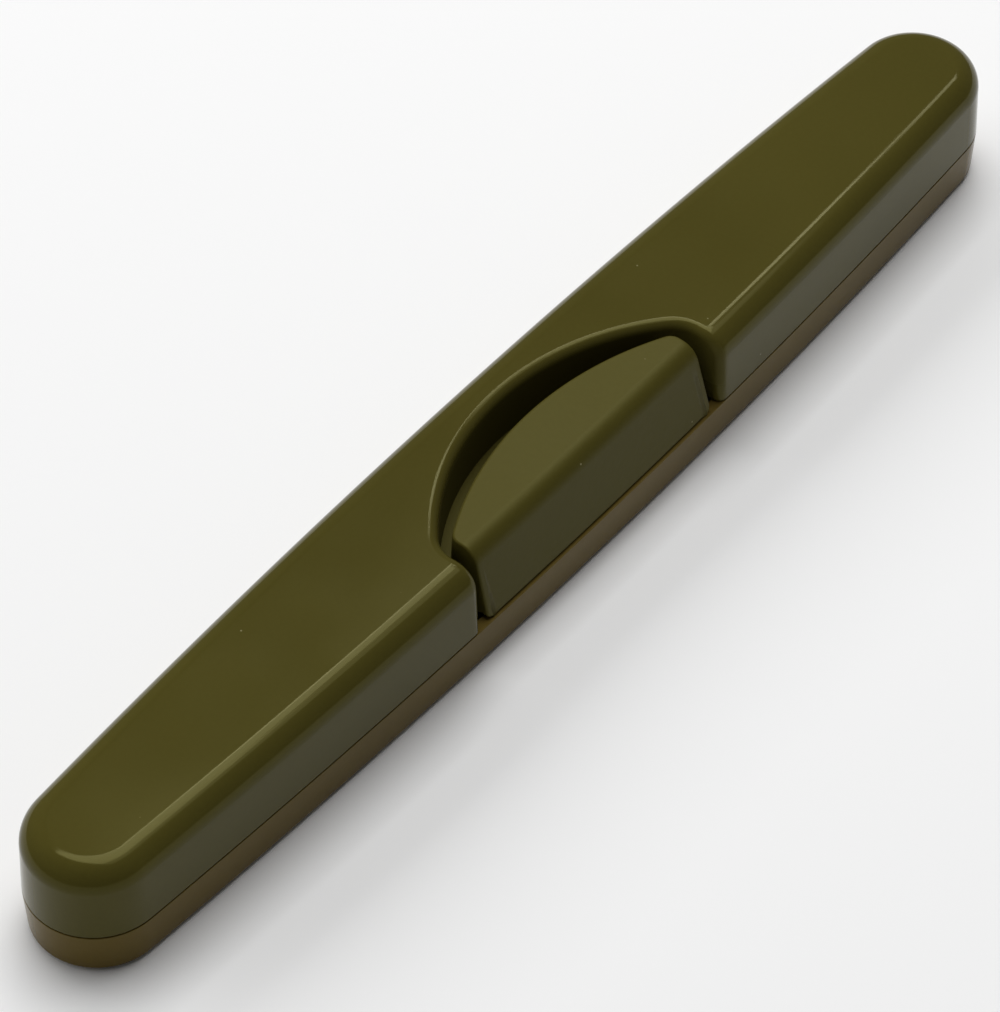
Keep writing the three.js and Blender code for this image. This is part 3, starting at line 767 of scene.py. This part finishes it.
def button_rows(m, inset):
    """Side profile of the button as (y, z) rows from its foot up over the ridge to its top"""
    b = m.button
    radius = b.ridge - inset
    front_y = b.inset - m.half + inset / cos(b.slant)
    top_z = m.button_top - inset / cos(b.top_slope)
    base_z = top_z - m.button_back * tan(b.top_slope) - radius / cos(b.top_slope)
    base_y = front_y + (base_z - m.foot) * tan(b.slant) + radius / cos(b.slant)
    centre_y = base_y / (1 - tan(b.slant) * tan(b.top_slope))
    centre_z = base_z + centre_y * tan(b.top_slope)
    low = m.foot - (OVERRUN if inset else 0)
    foot = (front_y + (low - m.foot) * tan(b.slant), low)
    return [foot] + arc(centre_y, centre_z, radius, pi - b.slant, pi / 2 + b.top_slope, CORNER_STEPS)


def button_block(m, inset):
    """Button as a solid body: face and ridge bowed like the case, flat top, leaning sides and bowed back"""
    b = m.button
    rows = button_rows(m, inset)
    lean = tan(b.draft)
    top_y, top_z = rows[-1]
    bm = bmesh.new()

    def half(z):
        return b.half_length - inset - (z - m.foot) * lean

    face = [[Vector((x, y + sagitta(m, x), z)) for x in steps(-half(z), half(z), BUTTON_STEPS)] for y, z in rows]
    lines = skin(bm, face, closed=False)

    def top(y):
        return top_z + (y - top_y) * tan(b.top_slope)

    low = rows[0][1]
    top_back, foot_back = [bowed(m.button_plan, inset + (z - m.foot) * lean) for z in (m.button_top, low)]
    top_places = [Vector((x, y, top(y))) for x, y in top_back]
    top_line, foot_line = skin(bm, [top_places, flat(foot_back, low)], closed=False)
    bm.faces.new(lines[-1] + top_line[::-1])
    bm.faces.new(lines[0] + foot_line[::-1])
    bm.faces.new([line[0] for line in lines] + [top_line[0], foot_line[0]])
    bm.faces.new([line[-1] for line in lines] + [top_line[-1], foot_line[-1]])
    if inset == 0:
        corners = [bm.edges.get((lines[0][0], foot_line[0])), bm.edges.get((lines[0][-1], foot_line[-1]))]
        round_edges(bm, corners, b.foot_corner, segments=6)
        round_edges(bm, sharp_edges(bm), b.edge, segments=4)
    return part("push_button_dressed", bm)


def hook_leg(m, side):
    """Hook leg that hangs from the button's front and reaches under one catch"""
    latch = m.latch
    lean = tan(m.button.slant)
    root_front = m.button.inset + m.button.wall / 2 - m.half
    root_foot = m.foot + m.gap
    root_top = root_foot + latch.root
    outline = [
        (m.hook_back, m.hook_foot),
        (m.hook_back, root_top),
        (root_front + (root_top - m.foot) * lean, root_top),
        (root_front + (root_foot - m.foot) * lean, root_foot),
        (m.hook_front, root_foot),
        (m.hook_front, m.hook_top),
        (m.hook_tip, m.hook_top),
        (m.hook_tip, m.hook_foot + latch.lead),
        (m.hook_tip + latch.lead, m.hook_foot),
    ]
    return bar(outline, *about(side, latch.hook_spacing, latch.hook_width / 2), m.edge)


def snap_foot(m, side):
    """Foot that passes through a slot in the scoop's floor and holds with a barb under it"""
    latch = m.latch
    barb_top = m.scoop_under - m.gap
    top = m.button_top - m.button.wall / 2 - (m.button_back - m.foot_front) * tan(m.button.top_slope)
    outline = [
        (m.foot_back, barb_top - latch.barb_height),
        (m.foot_back, top),
        (m.foot_front, top),
        (m.foot_front, barb_top),
        (m.foot_front - latch.barb, barb_top),
        (m.foot_front, barb_top - latch.barb_height),
    ]
    return bar(outline, *about(side, latch.foot_spacing, latch.foot_width / 2))


def button_undercut(m):
    """Cutters for the part of the button's shell that would meet the scoop's floor and apron"""
    low = m.scoop_floor + m.gap
    reach = (-m.case.length / 2, m.case.length / 2)
    under = slab(reach, (inner_front(m, low), m.half), (0, low))
    return under, slab(reach, (m.foot_front, m.half), (0, m.button_top - m.button.skirt))


def coil_spring(m, side):
    """Coil spring between the button's front and its post, with its start and end along Y"""
    latch = m.latch
    gap = m.gap + latch.wire
    start = inner_front(m, m.spring_z + latch.coil) + gap
    end = m.post_front - gap
    centre = side * latch.spring_spacing / 2
    along = Vector((0, 1, 0))
    count = int(latch.turns) * COIL_STEPS
    rows = []
    for k in range(count + 1):
        turn = 2 * pi * latch.turns * k / count
        out = Vector((cos(turn), 0, sin(turn)))
        middle = Vector((centre, start + (end - start) * k / count, m.spring_z)) + latch.coil * out
        rows.append([middle + latch.wire * (out * cos(a) + along * sin(a))
                     for a in steps(0, 2 * pi, WIRE_STEPS)[:-1]])
    bm = bmesh.new()
    skin(bm, rows)
    return part(f"button_spring_{SIDES[side]}_dressed", bm), start, end


def feed(tree, inputs, values):
    """Links or sets inputs of a shader node"""
    for key, value in values.items():
        if isinstance(value, bpy.types.NodeSocket):
            tree.links.new(value, inputs[key])
        else:
            inputs[key].default_value = value


def node(tree, kind, inputs=None, **settings):
    """Shader node with its settings and inputs"""
    made = tree.nodes.new(kind)
    for name, value in settings.items():
        setattr(made, name, value)
    feed(tree, made.inputs, inputs or {})
    return made


def maths(tree, operation, *values, clamp=False):
    """Result of a Math node"""
    made = node(tree, "ShaderNodeMath", dict(enumerate(values)), operation=operation, use_clamp=clamp)
    return made.outputs[0]


def noise(tree, place, scale, detail):
    """Value of a Noise Texture"""
    return node(tree, "ShaderNodeTexNoise", {"Vector": place, "Scale": scale, "Detail": detail}).outputs["Fac"]


def mix_colour(tree, share, first, second):
    """Result of a colour Mix node"""
    return node(tree, "ShaderNodeMix", {0: share, 6: first, 7: second}, data_type="RGBA").outputs[2]


def bump(tree, height, strength, relief):
    """Normal that follows a height"""
    values = {"Height": height, "Strength": strength, "Distance": relief}
    return node(tree, "ShaderNodeBump", values).outputs["Normal"]


def handled_plastic():
    """Node group for moulded plastic that has been handled: tone drift, dust specks, a faint ripple, and a dull
    finish in a hollow, which is given by its roof, floor, half length and bow and begins below its round rim"""
    tree = bpy.data.node_groups.new("handled_plastic", "ShaderNodeTree")
    numbers = ("Dustiness", "Roughness", "Ripple", "Roof", "Floor", "Half length", "Bow", "Bow centre")
    taken = {"Place": "Vector", "Plastic": "Color", "Dust": "Color"} | dict.fromkeys(numbers, "Float")
    handed_out = {"Colour": "Color", "Roughness": "Float", "Height": "Float"}
    for way, sockets in (("INPUT", taken), ("OUTPUT", handed_out)):
        for name, kind in sockets.items():
            tree.interface.new_socket(name=name, in_out=way, socket_type="NodeSocket" + kind)
    given = node(tree, "NodeGroupInput").outputs
    place = given["Place"]

    drift = maths(tree, "MULTIPLY_ADD", noise(tree, place, DRIFT_SCALE, 2), DRIFT, 1 - DRIFT / 2)
    grain = maths(tree, "MULTIPLY_ADD", noise(tree, place, GRAIN_SCALE, 2), GRAIN, 1 - GRAIN / 2)
    tone = maths(tree, "MULTIPLY", drift, grain)
    scaled = node(tree, "ShaderNodeVectorMath", {0: given["Plastic"], "Scale": tone}, operation="SCALE")

    cells = node(tree, "ShaderNodeTexVoronoi", {"Vector": place, "Scale": SPECK_SCALE}).outputs
    chance, width, weight = node(tree, "ShaderNodeSeparateColor", {"Color": cells["Color"]}).outputs
    radius = maths(tree, "MULTIPLY_ADD", width, SPECK_SPREAD, SPECK_SMALLEST)
    inside = maths(tree, "LESS_THAN", cells["Distance"], radius)
    chosen = maths(tree, "LESS_THAN", chance, given["Dustiness"])
    strength = maths(tree, "MULTIPLY_ADD", weight, 1 - SPECK_FAINTEST, SPECK_FAINTEST)
    speck = maths(tree, "MULTIPLY", maths(tree, "MULTIPLY", inside, chosen), strength)

    x, y, z = node(tree, "ShaderNodeSeparateXYZ", {"Vector": place}).outputs
    depth = maths(tree, "DIVIDE", maths(tree, "SUBTRACT", given["Roof"], z), HOLLOW_FADE)
    fade = node(tree, "ShaderNodeMapRange", {"Value": depth}, interpolation_type="SMOOTHSTEP").outputs["Result"]
    out = maths(tree, "SUBTRACT", y, given["Bow centre"])
    out = maths(tree, "SQRT", maths(tree, "MULTIPLY_ADD", x, x, maths(tree, "MULTIPLY", out, out)))
    hollow = maths(tree, "MULTIPLY", fade, maths(tree, "GREATER_THAN", z, given["Floor"]))
    for reach, limit in ((maths(tree, "ABSOLUTE", x), "Half length"), (out, "Bow")):
        hollow = maths(tree, "MULTIPLY", hollow, maths(tree, "LESS_THAN", reach, given[limit]))

    smeared = maths(tree, "MULTIPLY_ADD", noise(tree, place, SMEAR_SCALE, 4), SMEAR, given["Roughness"])
    shifted = maths(tree, "SUBTRACT", smeared, SMEAR / 2)
    dulled = maths(tree, "MULTIPLY_ADD", hollow, HOLLOW_DULLNESS, shifted)
    ripple = noise(tree, place, given["Ripple"], 1)
    node(tree, "NodeGroupOutput", {
        "Colour": mix_colour(tree, speck, scaled.outputs[0], given["Dust"]),
        "Roughness": maths(tree, "MULTIPLY_ADD", speck, SPECK_DULLNESS, dulled, clamp=True),
        "Height": maths(tree, "MULTIPLY_ADD", speck, SPECK_HEIGHT, ripple),
    })


def new_material(name, tone):
    """Material with its node tree and the inputs of its shader"""
    material = bpy.data.materials.new(name)
    material.use_nodes = True
    material.diffuse_color = (*tone, 1)
    tree = material.node_tree
    return material, tree, tree.nodes["Principled BSDF"].inputs


def moulded(name, plastic, finishes, sheen, relief, values):
    """Moulded plastic material, with the values that its node group takes"""
    material, tree, shader = new_material(name, plastic)
    handled = node(tree, "ShaderNodeGroup", node_tree=bpy.data.node_groups["handled_plastic"])
    feed(tree, handled.inputs, {
        "Place": node(tree, "ShaderNodeTexCoord").outputs["Object"],
        "Plastic": (*plastic, 1),
        "Dust": (*finishes.dust, 1),
    } | values)
    feed(tree, shader, {
        "Base Color": handled.outputs["Colour"],
        "Roughness": handled.outputs["Roughness"],
        "Normal": bump(tree, handled.outputs["Height"], 1, relief),
        "IOR": 1.5,
        "Specular Tint": (*finishes.gloss, 1),
        "Specular IOR Level": sheen,
    })
    return material


def drawn_steel(name, steel, scale, roughness):
    """Drawn steel material, with fine lines along the wire or pin"""
    material, tree, shader = new_material(name, steel)
    place = node(tree, "ShaderNodeTexCoord").outputs["Object"]
    stretched = node(tree, "ShaderNodeMapping", {"Vector": place, "Scale": scale}).outputs["Vector"]
    lines = noise(tree, stretched, 1, 3)
    dark = [value * STEEL_DARK for value in steel]
    feed(tree, shader, {
        "Base Color": mix_colour(tree, lines, (*dark, 1), (*steel, 1)),
        "Roughness": maths(tree, "MULTIPLY_ADD", lines, STEEL_DULLNESS, roughness),
        "Normal": bump(tree, lines, STEEL_BUMP, STEEL_RELIEF),
        "Metallic": 1,
    })
    return material


def dress(obj, material, slot, *nodes):
    """Smooth shading and material, and hides the CAD nodes that the piece stands for; the slot is not used"""
    obj.data.shade_smooth()
    obj.data.set_sharp_from_angle(angle=CREASE)
    even = obj.modifiers.new("Even normals", "WEIGHTED_NORMAL")
    even.keep_sharp = True
    obj.data.materials.clear()
    obj.data.materials.append(material)
    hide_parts(*nodes)


class CASE_OT_base(bpy.types.Operator):
    """Make the base with its tray, tongue, ribs, vents, catches and hinge knuckles"""

    bl_idname = "case.base"
    bl_label = "Base"

    def execute(self, context):
        m = measures(context.scene)
        finishes = context.scene.finishes
        base = base_tray(m)
        combine(base, "UNION", rim_tongue(m))
        floor = (m.case.wall / 2, m.case.wall + m.trim.base_rib)
        combine(base, "UNION", *cross_ribs(m, floor, m.case.wall / 2), *both_sides(front_catch, m))
        combine(base, "DIFFERENCE", *vent_slots(m))
        for side in SIDES:
            inner, outer = knuckle_spans(m, side)
            combine(base, "DIFFERENCE", knuckle_room(m, *inner))
            for stretch in outer:
                combine(base, "UNION", *knuckle(m, -1, *stretch))
            combine(base, "DIFFERENCE", hinge_bore(m, side))
        values = {"Roughness": 0.20, "Dustiness": 0.05, "Ripple": 120}
        material = moulded("base_plastic", finishes.base, finishes, finishes.sheen / 2, GLOSSY_RELIEF, values)
        dress(base, material, "base_plastic", "base_shell")
        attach(base, "base")
        return {"FINISHED"}


class CASE_OT_lid(bpy.types.Operator):
    """Make the lid with its scoop, ribs, spring posts and hinge knuckles"""

    bl_idname = "case.lid"
    bl_label = "Lid"

    def execute(self, context):
        m = measures(context.scene)
        finishes = context.scene.finishes
        lid = lid_body(m)
        combine(lid, "DIFFERENCE", lid_cavity(m))
        roof = m.height - m.case.wall
        combine(lid, "UNION", *cross_ribs(m, (roof - m.trim.lid_rib, roof + m.case.wall / 2), m.case.wall))
        combine(lid, "UNION", *both_sides(hook_bay, m, False))
        combine(lid, "DIFFERENCE", *both_sides(hook_bay, m, True), *both_sides(foot_slot, m))
        combine(lid, "UNION", *both_sides(spring_post, m))
        for side in SIDES:
            inner, outer = knuckle_spans(m, side)
            for stretch in outer:
                combine(lid, "DIFFERENCE", knuckle_room(m, *stretch))
            combine(lid, "UNION", *knuckle(m, 1, *inner), hinge_heel(m, *inner))
            combine(lid, "DIFFERENCE", hinge_bore(m, side))
        values = {
            "Roughness": 0.10,
            "Dustiness": 0.03,
            "Ripple": 120,
            "Roof": m.height,
            "Floor": m.scoop_floor - m.gap,
            "Half length": m.scoop.half_length + MM,
            "Bow": m.scoop.bow + m.scoop.wall / 2,
            "Bow centre": m.scoop.depth - m.half - m.scoop.bow,
        }
        material = moulded("lid_plastic", finishes.lid, finishes, finishes.sheen, GLOSSY_RELIEF, values)
        dress(lid, material, "lid_plastic", "lid_shell")
        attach(lid, "lid")
        return {"FINISHED"}


class CASE_OT_button(bpy.types.Operator):
    """Make the hollow push button with its hooks, feet and spring pips"""

    bl_idname = "case.button"
    bl_label = "Push button"

    def execute(self, context):
        m = measures(context.scene)
        finishes = context.scene.finishes
        button = button_block(m, 0)
        combine(button, "DIFFERENCE", button_block(m, m.button.wall), *button_undercut(m))
        combine(button, "UNION", *both_sides(hook_leg, m), *both_sides(snap_foot, m))
        face = inner_front(m, m.spring_z)
        for side in SIDES:
            x = side * m.latch.spring_spacing / 2
            root = (x, face - m.button.wall / 2, m.spring_z)
            tip = (x, face + m.latch.pip_length, m.spring_z)
            combine(button, "UNION", rod(m.latch.pip, root, tip, m.edge))
        values = {"Roughness": 0.42, "Dustiness": 0.16, "Ripple": 900}
        material = moulded("button_plastic", finishes.button, finishes, finishes.sheen, SATIN_RELIEF, values)
        dress(button, material, "button_plastic", "push_button")
        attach(button, "button")
        return {"FINISHED"}


class CASE_OT_springs(bpy.types.Operator):
    """Make both coil springs behind the button"""

    bl_idname = "case.springs"
    bl_label = "Springs"

    def execute(self, context):
        m = measures(context.scene)
        steel = context.scene.finishes.spring
        material = drawn_steel("spring_steel", steel, scale=(900, 900, 900), roughness=0.22)
        for side, end_name in SIDES.items():
            spring, start, end = coil_spring(m, side)
            dress(spring, material, "spring_steel", f"button_spring_{end_name}")
            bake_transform(spring)
        return {"FINISHED"}


class CASE_OT_pins(bpy.types.Operator):
    """Make both hinge pins"""

    bl_idname = "case.pins"
    bl_label = "Hinge pins"

    def execute(self, context):
        m = measures(context.scene)
        material = drawn_steel("pin_steel", context.scene.finishes.pin, scale=(60, 2600, 2600), roughness=0.2)
        for side, end_name in SIDES.items():
            stretch = about(side, m.hinge.spacing, m.hinge_half - m.hinge.pin_inset)
            pin = axle(m, m.hinge.pin, *stretch, m.hinge.chamfer)
            pin.name = f"hinge_pin_{end_name}_dressed"
            dress(pin, material, "pin_steel", f"hinge_pin_{end_name}")
            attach(pin, "base")
        return {"FINISHED"}


def softbox(name, height, across, along, brightness, reflected):
    """Soft rectangular light that shines straight down, its sides given as slopes seen from the case"""
    light = bpy.data.lights.new(name, "AREA")
    light.shape = "RECTANGLE"
    light.size = (across[1] - across[0]) * height
    light.size_y = (along[1] - along[0]) * height
    light.energy = brightness * light.size * light.size_y
    lamp = bpy.data.objects.new(name, light)
    lamp.location = (sum(across) / 2 * height, sum(along) / 2 * height, height)
    lamp.visible_glossy = reflected
    bpy.context.scene.collection.objects.link(lamp)


class CASE_OT_stage(bpy.types.Operator):
    """Make the camera, the floor and the studio lights"""

    bl_idname = "case.stage"
    bl_label = "Stage"

    def execute(self, context):
        scene = context.scene
        stage = scene.stage_settings
        self.camera(scene, stage)
        self.floor(scene)
        for name, across, along, light, share, reflected in SOFTBOXES:
            softbox(name, stage.lamp_height, across, along, getattr(stage, light) * share, reflected)
        world = bpy.data.worlds.new("studio")
        world.use_nodes = True
        background = world.node_tree.nodes["Background"].inputs
        feed(world.node_tree, background, {"Color": (1, 1, 1, 1), "Strength": stage.ambient})
        scene.world = world
        scene.view_settings.view_transform = "Standard"
        return {"FINISHED"}

    def camera(self, scene, stage):
        """Camera where the photograph was taken from"""
        turn, rise = stage.azimuth, stage.elevation
        right = Vector((cos(turn), -sin(turn), 0))
        level = Vector((sin(turn), cos(turn), 0))
        ahead = level * cos(rise) - Vector((0, 0, sin(rise)))
        up = level * sin(rise) + Vector((0, 0, cos(rise)))
        data = bpy.data.cameras.new("camera")
        data.lens = stage.lens / MM
        data.sensor_width = SENSOR
        camera = bpy.data.objects.new("camera", data)
        axes = Matrix((right, up, -ahead)).transposed()
        place = right * stage.across + up * stage.above - ahead * stage.distance
        camera.matrix_world = Matrix.Translation(place) @ axes.to_4x4()
        scene.collection.objects.link(camera)
        scene.camera = camera

    def floor(self, scene):
        """Plain pale floor"""
        bm = bmesh.new()
        bmesh.ops.create_grid(bm, x_segments=1, y_segments=1, size=FLOOR_HALF)
        floor = part("floor", bm)
        material, tree, paper = new_material("floor_paper", scene.finishes.floor)
        feed(tree, paper, {"Base Color": (*scene.finishes.floor, 1), "Roughness": 0.9, "Specular IOR Level": 0})
        floor.data.materials.append(material)


class CASE_PT_panel(bpy.types.Panel):
    """Buttons that make each piece of the case"""

    bl_label = "Toothbrush case"
    bl_idname = "CASE_PT_panel"
    bl_space_type = "VIEW_3D"
    bl_region_type = "UI"
    bl_category = "Case"

    def draw(self, context):
        for operator in OPERATORS:
            self.layout.operator(operator.bl_idname)


SETTINGS = {
    "case_sizes": CaseSizes,
    "scoop_sizes": ScoopSizes,
    "button_sizes": ButtonSizes,
    "latch_sizes": LatchSizes,
    "hinge_sizes": HingeSizes,
    "trim_sizes": TrimSizes,
    "finishes": Finishes,
    "stage_settings": StageSettings,
}
OPERATORS = (CASE_OT_base, CASE_OT_lid, CASE_OT_button, CASE_OT_springs, CASE_OT_pins, CASE_OT_stage)
CLASSES = (*SETTINGS.values(), *OPERATORS, CASE_PT_panel)


def register():
    """Adds the settings, operators and panel"""
    for made in CLASSES:
        bpy.utils.register_class(made)
    for name, group in SETTINGS.items():
        setattr(bpy.types.Scene, name, PointerProperty(type=group))


def unregister():
    """Takes them away again"""
    for name in SETTINGS:
        delattr(bpy.types.Scene, name)
    for made in reversed(CLASSES):
        bpy.utils.unregister_class(made)


def main():
    """Makes the whole case and its stage"""
    register()
    handled_plastic()
    bpy.ops.case.base()
    bpy.ops.case.lid()
    bpy.ops.case.button()
    bpy.ops.case.springs()
    bpy.ops.case.pins()
    bpy.ops.case.stage()


if __name__ == "__main__":
    main()
